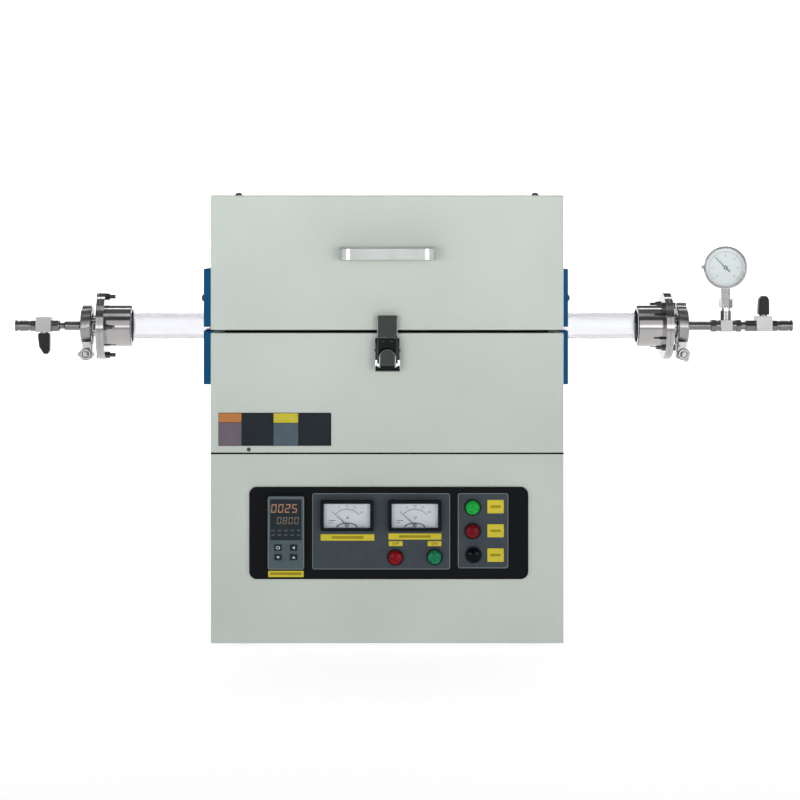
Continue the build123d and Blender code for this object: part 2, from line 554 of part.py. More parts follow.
# quick clamps with their eye bolts
clamps = []
NZ = ZA - 39.0                   # clamp screw height
for s, zp in ((-1, 23.6), (1, 27.6)):
    ring = rev_x([(s * (CXM - 7.3), 17.5), (s * (CXM - 7.3), 26.0), (s * (CXM - 6.0), 27.3),
                  (s * (CXM + 6.0), 27.3), (s * (CXM + 7.3), 26.0), (s * (CXM + 7.3), 17.5),
                  (s * (CXM + 5.2), 17.5), (s * (CXM + 2.9), 20.6), (s * (CXM - 2.9), 20.6),
                  (s * (CXM - 5.2), 17.5)])
    lugs = box(s * CXM - 5.4, s * CXM + 5.4, -16, 16, ZA - 46, ZA - 20) - cx(21, s * CXM - 9, s * CXM + 9)
    ring = ring + lugs - box(s * CXM - 12, s * CXM + 12, -4, 4, ZA - 60, ZA)
    ring -= box(s * CXM - 12, s * CXM + 12, -0.4, 0.4, ZA, ZA + zp - 4.6)
    ring += cx(5.0, s * CXM - 6.5, s * CXM + 6.5, 0, ZA + zp) - cx(20.6, s * CXM - 9, s * CXM + 9)
    ring -= cy(3.4, -20, 20, s * CXM, NZ)
    clamps.append(ring)
    clamps.append(cy(3.0, -28, 16.0, s * CXM, NZ) + cy(5.0, 16.0, 19.5, s * CXM, NZ))
save("pipe_clamps", *clamps)

for name, s, a in (("clamp_nut_left", -1, 0), ("clamp_nut_right", 1, 62)):
    pr_ = [(-16.0, 0), (-16.0, 7.0), (-17.4, 8.6), (-22.6, 8.6), (-24.2, 7.2), (-24.2, 5.2), (-23.0, 4.2),
           (-23.0, 0)]
    n = rev_y(pr_, 0, 0)
    for k in (0, 180):
        n += Rot(0, a + k, 0) * (box(5.0, 8.6, -22.4, -17.6, -3.4, 3.4) + cy(3.4, -22.4, -17.6, 8.4, 0))
    n -= cy(3.05, -40, 0, 0, 0)
    save(name, Pos(s * CXM, 0, NZ) * n)

# gas pipes and tee
pl = rev_x([(-(CXM + 0.5), 12.5), (-(CXM + 0.5), 20.0), (-(CXM + 2.9), 20.0), (-(CXM + 6.1), 14.5),
            (-(CXM + 10.9), 7.2), (-(CXM + 12.9), 6.2), (-449.4, 6.2), (-451.4, 4.3), (-458.6, 4.3),
            (-458.6, 3.0), (-449.0, 3.0), (-447.0, 4.2), (-(CXM + 1.9), 4.2), (-(CXM + 0.5), 9.0)])
pr = rev_x([(CXM + 0.5, 12.5), (CXM + 0.5, 20.0), (CXM + 2.9, 20.0), (CXM + 6.1, 14.5), (CXM + 8.9, 7.2),
            (CXM + 10.9, 6.0), (462.7, 6.0), (462.7, 4.2), (CXM + 1.9, 4.2), (CXM + 0.5, 9.0)])
TX = 480.9
tee = cx(7.6, 459.7, 501.7) + cz(7.4, ZA, ZA + 21.0, TX, 0)
tee += hex_x(16.4, 459.7, 466.4) + hex_x(16.4, 495.2, 501.7)
tee += Pos(TX, 0, ZA) * Box(16.4, 16.0, 16.0)
tee += cx(4.6, 501.7, 505.7)
tee -= cx(6.0, 458, 462.7)
tee -= cx(3.4, 458, 510)
tee -= cz(4.0, ZA, ZA + 30, TX, 0)
save("gas_pipes", pl, pr, tee)

# valves: hex nut, square body with a stem, push-in hose end
valves = []
XL = (-456.6, -468.5, -489.8, -519.5)     # nut, body, hose end, tip
XV = (501.7, 522.7, 544.8, 574.3)
for d, (x0, x1, x2, x3) in ((-1, XL), (1, XV)):
    if d < 0:
        v = hex_x(15.0, x0 + d * 3, x1) + rev_x([(x0, 0), (x0, 6.4), (x0 + d * 1.2, 7.4), (x0 + d * 3, 7.4),
                                                 (x0 + d * 3, 0)])
        v += box(x1, x2, -10.5, 10.5, ZA - 8.5, ZA + 12.5)
    else:
        v = cx(5.6, x0, x0 + 6.8) + hex_x(15.0, x0 + 6.8, x1)
        v += box(x1, x2, -10.5, 10.5, ZA - 7.5, ZA + 13.8)
    zb = 13.8 if d > 0 else 8.5
    v += cz(5.6, ZA + d * (zb - 1), ZA + d * (zb + 1.6), (x1 + x2) / 2, 0)
    v += cz(2.6, ZA + d * zb, ZA + d * (zb + 8.5), (x1 + x2) / 2, 0)
    v += hex_x(14.4, x2, x2 + d * 8)
    v += cx(6.7, x2 + d * 7, x3 - d * 3.0) + cx(7.4, x2 + d * 12, x3 - d * 6)
    v -= cx(4.05, x3 - d * 18, x3 + d * 1)
    v -= cx(3.0, x0 - d * 1, x3)
    v -= cx(4.35 if d < 0 else 4.65, x0 - d * 1, x0 + d * (2.0 if d < 0 else 4.0))
    valves.append(v)
    valves.append(cx(7.9, x3 - d * 3.0, x3) - cx(4.05, x3 - d * 4, x3 + d))
save("valve_bodies", *valves)

VXL, VXR = (XL[1] + XL[2]) / 2, (XV[1] + XV[2]) / 2


def lever(x, zs, prof, bore_top):
    """Moulded handle standing on a valve stem, pointing along zs."""
    b = prism_y(prof, -6.0, 6.0)
    b = fillet(b.edges().filter_by(Axis.Y), 1.1)
    b = fillet(b.faces().filter_by(Axis.Y).edges(), 0.9)
    b -= cz(2.65, 0, bore_top, 0, 0)
    if zs < 0:
        b = mirror(b, Plane.XY)
    return Pos(x, 0, ZA) * b


save("valve_lever_left", lever(VXL, -1, [(-7.9, 10.4), (8.0, 10.4), (8.3, 15.0), (8.2, 34.0), (6.3, 38.6),
                                         (3.6, 39.8), (0.0, 39.2), (-6.4, 29.5), (-8.1, 15.0)], 17.2))
save("valve_lever_right", lever(VXR, 1, [(-7.3, 15.7), (7.3, 15.7), (7.6, 20.0), (7.5, 36.5), (4.6, 41.8),
                                         (-2.8, 42.0), (-6.6, 37.0), (-7.5, 20.0)], 22.5))

# pressure gauge on the tee, screwed home with its face turned a little inwards
GX, GZ, GR = TX, 499.5, 30.0
TURN = Pos(GX, 0, 0) * Rot(0, 0, -10.75) * Pos(-GX, 0, 0)
g = rev_y([(-14.0, GR - 3.0), (-14.0, GR - 1.2), (-12.8, GR), (-9.0, GR), (-8.6, GR - 0.7), (9, GR - 0.7),
           (12.0, GR - 4), (12.0, 0), (-8.4, 0), (-8.4, GR - 3.0)], GX, GZ)
g += box(GX - 6.5, GX + 6.5, -6.5, 6.5, ZA + 35.5, GZ - GR + 3)
g += hex_z(16.8, ZA + 25.2, ZA + 37.7, GX, 0) + cz(6.2, ZA + 21.0, ZA + 26, GX, 0)
g += cz(3.9, ZA + 12.0, ZA + 22, GX, 0)
g += cx(3.0, GX - GR - 3.6, GX - GR + 3, 0, GZ)
save("gauge_case", TURN * g)
d = cy(GR - 3.1, -9.4, -8.4, GX, GZ) + cy(0.9, -12.0, -9.0, GX, GZ)
dials.append(TURN * d)
glasses.append(TURN * cy(GR - 3.0, -13.8, -12.6, GX, GZ))
save("meter_cases", *cases)
save("meter_dials", *dials)
save("meter_glasses", *glasses)
gp = needle(GX, GZ, 21.5, 8.0, -11.2, -10.7, math.radians(-45), 2.8, 1.0) - cy(0.95, -20, 0, GX, GZ)
save("gauge_pointer", TURN * gp)

# --------------------------------------------------- screws of the fixed body
scr = [dome_screw(s * (XR + COV), y, 376, (s, 0, 0), 4.0, 2.6) for s in (-1, 1) for y in (-60, 60)]
scr += [dome_screw(x, YR, z, (0, 1, 0), 3.6, 2.0) for x in (-220, 220) for z in (20, 130, 240)]
scr += [dome_screw(x + dx, YR + 2.5, 388, (0, 1, 0), 3.2, 1.8) for x in HX for dx in (-22, 22)]
scr += [dome_screw(-182.8, YF, 261.8, (0, -1, 0), 2.6, 1.6)]
scr += [dome_screw(x, YF - 1.5, z, (0, -1, 0), 1.9, 0.8) for x in (-6.0, 6.0) for z in (372.5, 404.5)]
save("case_screws", *scr)

bb = Compound([s for v in saved.values() for s in v]).bounding_box()
print(len(saved), "nodes", bb.min, bb.max, (bb.min + bb.max) / 2)
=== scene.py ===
import bpy
import bmesh
import math
from mathutils import Vector, Matrix


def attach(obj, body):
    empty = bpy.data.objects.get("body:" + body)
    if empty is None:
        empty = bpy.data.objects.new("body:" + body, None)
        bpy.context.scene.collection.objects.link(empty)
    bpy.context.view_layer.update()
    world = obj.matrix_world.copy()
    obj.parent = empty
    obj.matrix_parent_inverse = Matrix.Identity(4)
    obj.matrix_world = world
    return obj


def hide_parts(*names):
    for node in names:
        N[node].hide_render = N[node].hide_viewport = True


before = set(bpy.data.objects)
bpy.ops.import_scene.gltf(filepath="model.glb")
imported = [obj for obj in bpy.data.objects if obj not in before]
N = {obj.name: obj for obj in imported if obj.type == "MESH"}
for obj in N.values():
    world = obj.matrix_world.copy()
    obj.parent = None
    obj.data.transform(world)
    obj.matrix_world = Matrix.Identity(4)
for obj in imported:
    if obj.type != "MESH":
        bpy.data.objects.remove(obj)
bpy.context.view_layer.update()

# The cabinet's own frame is used below, in millimetres: x = 0 and y = 0 in its
# middle, z = 0 under the feet, front towards -Y.
OX, OY = -27.4, 11.0
ZA = 417.6


def P(x, y, z):
    return Vector(((x + OX) / 1000.0, (y + OY) / 1000.0, z / 1000.0))


def lin(r, g, b):
    def f(c):
        c /= 255.0
        return c / 12.92 if c <= 0.04045 else ((c + 0.055) / 1.055) ** 2.4
    return (f(r), f(g), f(b), 1.0)


# ------------------------------------------------------------------ materials
def new_mat(name):
    m = bpy.data.materials.new(name)
    m.use_nodes = True
    nt = m.node_tree
    b = nt.nodes["Principled BSDF"]
    return m, nt, b


def link(nt, a, b):
    nt.links.new(a, b)


def coords(nt, scale=(1, 1, 1)):
    tc = nt.nodes.new("ShaderNodeTexCoord")
    mp = nt.nodes.new("ShaderNodeMapping")
    mp.inputs["Scale"].default_value = scale
    link(nt, tc.outputs["Object"], mp.inputs["Vector"])
    return mp.outputs["Vector"]


def noise(nt, vec, scale, detail=3.0, rough=0.5):
    n = nt.nodes.new("ShaderNodeTexNoise")
    n.inputs["Scale"].default_value = scale
    n.inputs["Detail"].default_value = detail
    n.inputs["Roughness"].default_value = rough
    link(nt, vec, n.inputs["Vector"])
    return n.outputs["Fac"]


def ramp(nt, fac, stops):
    r = nt.nodes.new("ShaderNodeValToRGB")
    els = r.color_ramp.elements
    while len(els) > 1:
        els.remove(els[-1])
    els[0].position, els[0].color = stops[0]
    for p, c in stops[1:]:
        e = els.new(p)
        e.color = c
    link(nt, fac, r.inputs["Fac"])
    return r.outputs["Color"]


def maprange(nt, fac, lo, hi):
    r = nt.nodes.new("ShaderNodeMapRange")
    r.inputs["To Min"].default_value = lo
    r.inputs["To Max"].default_value = hi
    link(nt, fac, r.inputs["Value"])
    return r.outputs["Result"]


def bump(nt, b, height, strength, dist):
    n = nt.nodes.new("ShaderNodeBump")
    n.inputs["Strength"].default_value = strength
    n.inputs["Distance"].default_value = dist
    link(nt, height, n.inputs["Height"])
    link(nt, n.outputs["Normal"], b.inputs["Normal"])
    return n


def scale_col(c, k):
    return (min(c[0] * k, 1), min(c[1] * k, 1), min(c[2] * k, 1), 1.0)


def powder(name, col, rough=0.42, grain=1500.0, depth=0.00005, vary=0.05, spec=0.5):
    """Powder coat: orange-peel bump, slight tone drift, a few dust specks."""
    m, nt, b = new_mat(name)
    v = coords(nt)
    big = noise(nt, v, 5.0, 2.0)
    fine = noise(nt, v, grain, 2.0)
    mid = noise(nt, v, grain / 3.2, 2.0)
    c = ramp(nt, big, [(0.3, scale_col(col, 1 - vary)), (0.7, scale_col(col, 1 + vary))])
    mix = nt.nodes.new("ShaderNodeMix")
    mix.data_type = "RGBA"
    mix.blend_type = "MULTIPLY"
    mix.inputs["Factor"].default_value = 1.0
    link(nt, c, mix.inputs["A"])
    g = ramp(nt, fine, [(0.3, (0.94, 0.94, 0.94, 1)), (0.7, (1.03, 1.03, 1.03, 1))])
    link(nt, g, mix.inputs["B"])
    link(nt, mix.outputs["Result"], b.inputs["Base Color"])
    link(nt, maprange(nt, mid, rough - 0.05, rough + 0.07), b.inputs["Roughness"])
    b.inputs["Specular IOR Level"].default_value = spec
    add = nt.nodes.new("ShaderNodeMath")
    add.operation = "ADD"
    link(nt, fine, add.inputs[0])
    link(nt, mid, add.inputs[1])
    bump(nt, b, add.outputs["Value"], 0.55, depth)
    return m


def metal(name, col, rough=0.28, axis=None, lines=2600.0, spread=0.09, depth=0.00001, vary=0.08, blotch=30.0):
    """Machined or brushed metal. axis is the direction across the tool marks."""
    m, nt, b = new_mat(name)
    b.inputs["Metallic"].default_value = 1.0
    s = {None: (1, 1, 1), "X": (1, 0.02, 0.02), "Y": (0.02, 1, 0.02), "Z": (0.02, 0.02, 1)}[axis]
    v = coords(nt, s)
    streak = noise(nt, v, lines, 3.0, 0.6)
    o = coords(nt)
    big = noise(nt, o, blotch, 3.0)
    c = ramp(nt, big, [(0.25, scale_col(col, 1 - vary)), (0.75, scale_col(col, 1 + vary))])
    mix = nt.nodes.new("ShaderNodeMix")
    mix.data_type = "RGBA"
    mix.blend_type = "MULTIPLY"
    mix.inputs["Factor"].default_value = 1.0
    link(nt, c, mix.inputs["A"])
    g = ramp(nt, streak, [(0.2, (0.90, 0.90, 0.90, 1)), (0.8, (1.05, 1.05, 1.05, 1))])
    link(nt, g, mix.inputs["B"])
    link(nt, mix.outputs["Result"], b.inputs["Base Color"])
    add = nt.nodes.new("ShaderNodeMath")
    add.operation = "MULTIPLY_ADD"
    link(nt, streak, add.inputs[0])
    add.inputs[1].default_value = 1.4 * spread
    add.inputs[2].default_value = rough - 0.7 * spread
    link(nt, add.outputs["Value"], b.inputs["Roughness"])
    bump(nt, b, streak, 0.5, depth)
    return m


def plastic(name, col, rough=0.4, grain=2500.0, depth=0.00002, spec=0.5, vary=0.08):
    """Moulded plastic: faint spark-eroded grain and slightly uneven gloss."""
    m, nt, b = new_mat(name)
    v = coords(nt)
    fine = noise(nt, v, grain, 2.0)
    big = noise(nt, v, 40.0, 2.0)
    c = ramp(nt, big, [(0.3, scale_col(col, 1 - vary)), (0.7, scale_col(col, 1 + vary))])
    link(nt, c, b.inputs["Base Color"])
    link(nt, maprange(nt, big, rough - 0.05, rough + 0.06), b.inputs["Roughness"])
    b.inputs["Specular IOR Level"].default_value = spec
    bump(nt, b, fine, 0.5, depth)
    return m


def lens(name, col, glow=0.0, rough=0.22, cells=300.0, spec=0.1):
    """Coloured lamp lens with a pressed prism pattern; each prism's colour is painted lighter at its centre and
    darker at its rim, a painted glint of the facets.
    """
    m, nt, b = new_mat(name)
    v = coords(nt)
    vo = nt.nodes.new("ShaderNodeTexVoronoi")
    vo.inputs["Scale"].default_value = cells
    link(nt, v, vo.inputs["Vector"])
    # painted highlight: each prism cell lighter in the middle and darker at the rim
    c = ramp(nt, vo.outputs["Distance"], [(0.0, scale_col(col, 1.2)), (0.5, col), (0.9, scale_col(col, 0.6))])
    link(nt, c, b.inputs["Base Color"])
    b.inputs["Roughness"].default_value = rough
    b.inputs["Specular IOR Level"].default_value = spec
    b.inputs["Coat Weight"].default_value = 0.04
    b.inputs["Coat Roughness"].default_value = 0.05
    if glow:
        link(nt, c, b.inputs["Emission Color"])
        b.inputs["Emission Strength"].default_value = glow
    bump(nt, b, vo.outputs["Distance"], 0.35, 0.0002)
    return m


def glass(name, col=(1, 1, 1, 1), rough=0.02, ior=1.46, alpha=1.0):
    m, nt, b = new_mat(name)
    v = coords(nt)
    n = noise(nt, v, 60.0, 2.0)
    b.inputs["Base Color"].default_value = col
    link(nt, maprange(nt, n, rough, rough + 0.03), b.inputs["Roughness"])
    b.inputs["Transmission Weight"].default_value = 1.0
    b.inputs["IOR"].default_value = ior
    b.inputs["Alpha"].default_value = alpha
    return m


def fibre(name, col):
    """Vacuum-formed ceramic fibre: matt, slightly furry, with pressed pits."""
    m, nt, b = new_mat(name)
    v = coords(nt)
    fine = noise(nt, v, 900.0, 5.0, 0.7)
    mid = noise(nt, v, 60.0, 4.0, 0.6)
    c = ramp(nt, mid, [(0.3, scale_col(col, 0.86)), (0.65, col)])
    link(nt, c, b.inputs["Base Color"])
    b.inputs["Roughness"].default_value = 0.95
    b.inputs["Sheen Weight"].default_value = 0.2
    add = nt.nodes.new("ShaderNodeMath")
    add.operation = "ADD"
    link(nt, fine, add.inputs[0])
    link(nt, mid, add.inputs[1])
    bump(nt, b, add.outputs["Value"], 0.8, 0.0006)
    return m


def rubber_mat(name, col):
    m, nt, b = new_mat(name)
    v = coords(nt)
    n = noise(nt, v, 1200.0, 3.0)
    c = ramp(nt, n, [(0.3, scale_col(col, 0.8)), (0.7, scale_col(col, 1.3))])
    link(nt, c, b.inputs["Base Color"])
    b.inputs["Roughness"].default_value = 0.8
    bump(nt, b, n, 0.5, 0.00006)
    return m


PAINT = lin(199, 208, 200)
M = {}
M["paint"] = powder("casing_powder_coat", PAINT, 0.45)
M["blue"] = powder("blue_powder_coat", lin(8, 88, 138), 0.5, vary=0.05, spec=0.12)
M["zinc"] = metal("zinc_sheet", lin(170, 173, 174), 0.42, None, 700.0, 0.1)
M["steel_turned"] = metal("stainless_turned", lin(180, 178, 177), 0.14, "X", 3200.0, 0.08)
M["steel_fit"] = metal("stainless_fittings", lin(126, 125, 125), 0.22, None, 700.0, 0.10)
M["steel_y"] = metal("stainless_gauge", lin(212, 211, 210), 0.18, "Y", 2600.0, 0.06)
M["alu"] = metal("satin_aluminium", lin(195, 200, 198), 0.34, "Z", 2400.0, 0.10)
M["alu_cast"] = metal("cast_aluminium", lin(156, 156, 157), 0.26, None, 500.0, 0.12, 0.00003)
# painted reflection: both latch steels get a base colour far darker than polished steel, standing in for the dark
# surroundings they mirror
M["latch"] = metal("latch_steel", lin(52, 56, 54), 0.12, None, 900.0, 0.05)
M["latch_lever"] = metal("latch_lever_painted_reflection", lin(104, 108, 106), 0.11, None, 900.0, 0.04)
# painted shade: black for the shadowed seams and joints
M["gap"] = plastic("painted_gap_shade", lin(16, 17, 16), 0.9, spec=0.05)
M["plated"] = metal("plated_screw_steel", lin(150, 150, 148), 0.30, None, 900.0, 0.10)
M["screw_dark"] = metal("black_screw_steel", lin(78, 80, 80), 0.34, None, 900.0, 0.10)
M["black_plate"] = powder("panel_black", lin(13, 16, 19), 0.50, 2200.0, 0.00002, 0.05, 0.08)
M["inlay"] = plastic("inlay_slate", lin(60, 69, 76), 0.5, spec=0.2)
M["line"] = plastic("inlay_border", lin(128, 136, 140), 0.5, spec=0.2)
M["tag"] = plastic("tag_yellow", lin(214, 198, 58), 0.55, vary=0.04, spec=0.12)
M["tag_edge"] = plastic("tag_yellow_edge", lin(150, 138, 40), 0.5)
M["ink"] = plastic("printing_ink", lin(28, 28, 28), 0.6)
M["ink_gauge"] = plastic("gauge_ink", lin(128, 140, 144), 0.6)
M["pointer"] = plastic("gauge_pointer_grey", lin(112, 128, 136), 0.5)
M["needle_meter"] = plastic("meter_needle_grey", lin(92, 100, 106), 0.5)
M["ink_meter"] = plastic("meter_ink", lin(86, 93, 98), 0.6)
M["bar"] = plastic("tag_bar_ochre", lin(160, 142, 36), 0.6, spec=0.12)
M["face"] = plastic("gauge_face", lin(234, 242, 243), 0.55, vary=0.01)
M["ink_soft"] = plastic("printing_ink_soft", lin(150, 136, 34), 0.6)
M["white_ink"] = plastic("white_ink", lin(205, 210, 210), 0.55)
M["strip_base"] = plastic("strip_dark", lin(33, 40, 46), 0.5, spec=0.12)
M["strip_orange"] = plastic("strip_orange", lin(190, 126, 70), 0.5, spec=0.12)
M["strip_pink"] = plastic("strip_mauve", lin(110, 101, 110), 0.5, spec=0.12)
M["strip_yellow"] = plastic("strip_yellow", lin(205, 192, 62), 0.5, spec=0.12)
M["strip_blue"] = plastic("strip_blue_grey", lin(84, 99, 110), 0.5, spec=0.12)
M["ctrl"] = plastic("controller_grey", lin(81, 95, 100), 0.5, spec=0.15)
M["ctrl_low"] = plastic("controller_keypad", lin(84, 100, 105), 0.45)
M["key"] = plastic("controller_key", lin(24, 30, 36), 0.45, spec=0.2)
M["black"] = plastic("moulded_black", lin(16, 19, 21), 0.42, spec=0.15)
M["meter_black"] = plastic("meter_black", lin(10, 14, 19), 0.45, spec=0.1)
M["dial"] = plastic("dial_white", lin(214, 222, 228), 0.55, vary=0.02)
M["nylon"] = plastic("black_nylon", lin(22, 23, 27), 0.34, spec=0.2)
M["rubber"] = rubber_mat("rubber_black", lin(30, 30, 31))
M["fibre"] = fibre("ceramic_fibre", lin(238, 235, 226))
M["wire"] = metal("heating_wire", lin(104, 96, 92), 0.5, None, 900.0, 0.12)
M["quartz"] = glass("quartz_glass", (0.76, 0.764, 0.795, 1), 0.05, 1.46, 0.6)
M["clear"] = glass("cover_glass", (1, 1, 1, 1), 0.015, 1.45, 0.15)
M["red"] = lens("lens_red", lin(132, 6, 17), 0.0)
M["green"] = lens("lens_green", lin(22, 122, 82), 0.0)
M["green_lit"] = lens("lens_green_lit", lin(22, 150, 58), 0.22)
M["red_dark"] = lens("lens_red_dark", lin(112, 10, 22), 0.0)
M["gloss_black"] = plastic("gloss_black", lin(5, 11, 15), 0.10, 2500.0, 0.000004, 0.08)
M["needle"] = plastic("needle_black", lin(16, 16, 18), 0.4)
m, nt, b = new_mat("display_window")
c = ramp(nt, noise(nt, coords(nt), 30.0), [(0.3, lin(28, 38, 43)), (0.7, lin(36, 46, 51))])
link(nt, c, b.inputs["Base Color"])
b.inputs["Roughness"].default_value = 0.3
b.inputs["Specular IOR Level"].default_value = 0.15
M["window"] = m
for key, col, glow in (("seg_hot", lin(160, 112, 84), 0.30), ("seg_dim", lin(112, 98, 82), 0.12),
                       ("led_dim", lin(66, 84, 90), 0.0)):
    m, nt, b = new_mat(key)
    c = ramp(nt, noise(nt, coords(nt), 800.0), [(0.3, scale_col(col, 0.85)), (0.7, col)])
    link(nt, c, b.inputs["Base Color"])
    link(nt, c, b.inputs["Emission Color"])
    b.inputs["Emission Strength"].default_value = glow
    M[key] = m

NODE_MAT = {
    "cabinet_shell": "paint", "cabinet_rear_panel": "paint", "lower_furnace_shell": "paint", "lid_shell": "paint",
    "base_pan": "zinc", "rubber_feet": "rubber", "flange_o_rings": "rubber",
    "lower_port_covers": "blue", "upper_port_covers": "blue",
    "lower_insulation": "fibre", "upper_insulation": "fibre", "tube_plugs": "fibre",
    "lower_heating_element": "wire", "upper_heating_element": "wire",
    "lid_handle": "alu", "pipe_clamps": "alu_cast", "clamp_nut_left": "alu_cast", "clamp_nut_right": "alu_cast",
    "power_regulator": "alu_cast", "latch_base": "latch", "latch_lever": "latch_lever", "latch_hook": "latch_lever",
    "latch_keeper": "latch", "hinge_lower_leaves": "plated", "hinge_upper_leaves": "plated", "hinge_pins": "plated",
    "lid_screws": "screw_dark", "case_screws": "screw_dark", "flange_bolts": "screw_dark",
    "flange_sleeves": "steel_turned", "flange_end_plates": "steel_turned", "gas_pipes": "steel_fit",
    "valve_bodies": "steel_fit", "gauge_case": "steel_y", "thermocouple": "steel_turned",
    "quartz_tube": "quartz", "meter_glasses": "clear", "control_plate": "black_plate", "panel_overlays": "inlay",
    "controller_case": "ctrl", "controller_window": "window", "key_set": "key", "key_shift": "key",
    "key_down": "key", "key_up": "key", "meter_cases": "meter_black", "button_bezels": "black",
    "fan_housing": "black", "fan_rotor": "black", "power_inlet": "black", "valve_lever_left": "nylon",
    "valve_lever_right": "nylon", "black_button": "gloss_black", "meter_dials": "dial",
    "ammeter_needle": "needle_meter", "voltmeter_needle": "needle_meter", "gauge_pointer": "pointer",
    "stop_button": "red", "start_button": "green", "pilot_lamps": "green_lit",
}
for n, o in N.items():
    o.data.materials.clear()
    o.data.materials.append(M[NODE_MAT[n]])

def paint_joint_shade(node, test):
    """Painted shade: the black material on the faces of a joint that lie in shadow, picked by centre (mm, cabinet
    frame) and normal.
    """
    me = N[node].data
    me.materials.append(M["gap"])
    for f in me.polygons:
        c = f.center
        if test(c.x * 1000 - OX, c.y * 1000 - OY, c.z * 1000, f.normal):
            f.material_index = 1


# painted shade: faces inside the lid seam, and the cabinet top and lower shell underside in the seam between them,
# turn black
for node in ("lower_insulation", "upper_insulation"):
    paint_joint_shade(node, lambda x, y, z, n: 410 < z < 425 and abs(n.z) < 0.3 and (abs(y) > 150.5 or abs(x) > 215.5))
paint_joint_shade("lower_furnace_shell", lambda x, y, z, n: z < 259.2 and (n.z < -0.5 or (
    z > 256.0 and abs(n.z) < 0.3 and abs(x) < 232 and abs(y) < 179)))
paint_joint_shade("cabinet_shell", lambda x, y, z, n: z > 255.5 and n.z > 0.9)
me = N["meter_dials"].data      # the gauge's own dial is a little whiter than the two panel meters
me.materials.append(M["face"])
for f in me.polygons:
    if f.center.x > 0.3:
        f.material_index = 1

BEVEL = {"valve_bodies": 0.4,
         "gas_pipes": 0.3, "controller_case": 0.35, "meter_cases": 0.5, "control_plate": 0.5,
         "lower_port_covers": 0.4, "upper_port_covers": 0.4, "pipe_clamps": 0.4, "gauge_case": 0.3,
         "lower_furnace_shell": 0.5, "cabinet_shell": 0.5, "lid_shell": 0.5}
for n, w in BEVEL.items():
    o = N[n]
    md = o.modifiers.new("weld", "WELD")
    md.merge_threshold = 0.000002
    md = o.modifiers.new("edge_break", "BEVEL")
    md.width = w / 1000
    md.segments = 2
    md.limit_method = "ANGLE"
    md.angle_limit = math.radians(40)
    md.harden_normals = False

SHARP = math.radians(32)
for n, o in N.items():
    # smooth shading across the facets of round walls, crisp elsewhere
    for p in o.data.polygons:
        p.use_smooth = True
    o.data.set_sharp_from_angle(angle=SHARP)
    if n in BEVEL:
        md = o.modifiers.new("even_faces", "WEIGHTED_NORMAL")
        md.keep_sharp = True


# -------------------------------------------------------------- mesh builders
def finish_mesh(name, bm, mat, body, smooth=True, extra=()):
    bmesh.ops.remove_doubles(bm, verts=bm.verts, dist=1e-7)
    bmesh.ops.recalc_face_normals(bm, faces=bm.faces)
    me = bpy.data.meshes.new(name)
    bm.to_mesh(me)
    bm.free()
    o = bpy.data.objects.new(name, me)
    bpy.context.scene.collection.objects.link(o)
    me.materials.append(M[mat])
    for e in extra:
        me.materials.append(M[e])
    if smooth:
        for p in me.polygons:
            p.use_smooth = True
        me.set_sharp_from_angle(angle=SHARP)
    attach(o, body)
    return o


def rounded_outline(w, h, r, seg=6):
    pts = []
    for cx, cz, a0 in ((w / 2 - r, h / 2 - r, 0), (-w / 2 + r, h / 2 - r, 90),
                       (-w / 2 + r, -h / 2 + r, 180), (w / 2 - r, -h / 2 + r, 270)):
        for i in range(seg + 1):
            a = math.radians(a0 + 90 * i / seg)
            pts.append((cx + r * math.cos(a), cz + r * math.sin(a)))
    return pts


def extrude_xz(bm, outline, y0, y1, bevel=0.0, mat_index=0):
    """Solid plate from an (x, z) outline in mm between y0 (front) and y1, front edge chamfered."""
    rings = []
    cxm = sum(p[0] for p in outline) / len(outline)
    czm = sum(p[1] for p in outline) / len(outline)
    levels = [(y1, 0.0), (y0 + bevel, 0.0), (y0, bevel)] if bevel else [(y1, 0.0), (y0, 0.0)]
    w = max(p[0] for p in outline) - min(p[0] for p in outline)
    h = max(p[1] for p in outline) - min(p[1] for p in outline)
    for y, inset in levels:
        sx = (w - 2 * inset) / w
        sz = (h - 2 * inset) / h
        rings.append([bm.verts.new(P(cxm + (x - cxm) * sx, y, czm + (z - czm) * sz)) for x, z in outline])
    n = len(outline)
    fs = []
    for a, b in zip(rings, rings[1:]):
        for i in range(n):
            fs.append(bm.faces.new((a[i], a[(i + 1) % n], b[(i + 1) % n], b[i])))
    fs.append(bm.faces.new(rings[0]))
    fs.append(bm.faces.new(list(reversed(rings[-1]))))
    for f in fs:
        f.material_index = mat_index
    return fs


def plate(bm, x, z, w, h, r, y0, y1, bevel=0.0, mat_index=0, seg=6):
    pts = [(x + a, z + c) for a, c in rounded_outline(w, h, r, seg)]
    return extrude_xz(bm, pts, y0, y1, bevel, mat_index)


def frame_line(bm, x, z, w, h, r, t, y0, y1, mat_index=0):
    """A raised hollow border of width t."""
    o = [(x + a, z + c) for a, c in rounded_outline(w, h, r)]
    i = [(x + a, z + c) for a, c in rounded_outline(w - 2 * t, h - 2 * t, max(r - t, 0.05))]
    n = len(o)
    V = {}
    for key, pts, y in (("of", o, y0), ("if", i, y0), ("ob", o, y1), ("ib", i, y1)):
        V[key] = [bm.verts.new(P(a, y, c)) for a, c in pts]
    for k in range(n):
        j = (k + 1) % n
        for a, b in (("of", "if"), ("if", "ib"), ("ib", "ob"), ("ob", "of")):
            f = bm.faces.new((V[a][k], V[a][j], V[b][j], V[b][k]))
            f.material_index = mat_index


def disc(bm, x, z, r, y0, y1, seg=24, mat_index=0):
    pts = [(x + r * math.cos(2 * math.pi * i / seg), z + r * math.sin(2 * math.pi * i / seg)) for i in range(seg)]
    return extrude_xz(bm, pts, y0, y1, 0.0, mat_index)


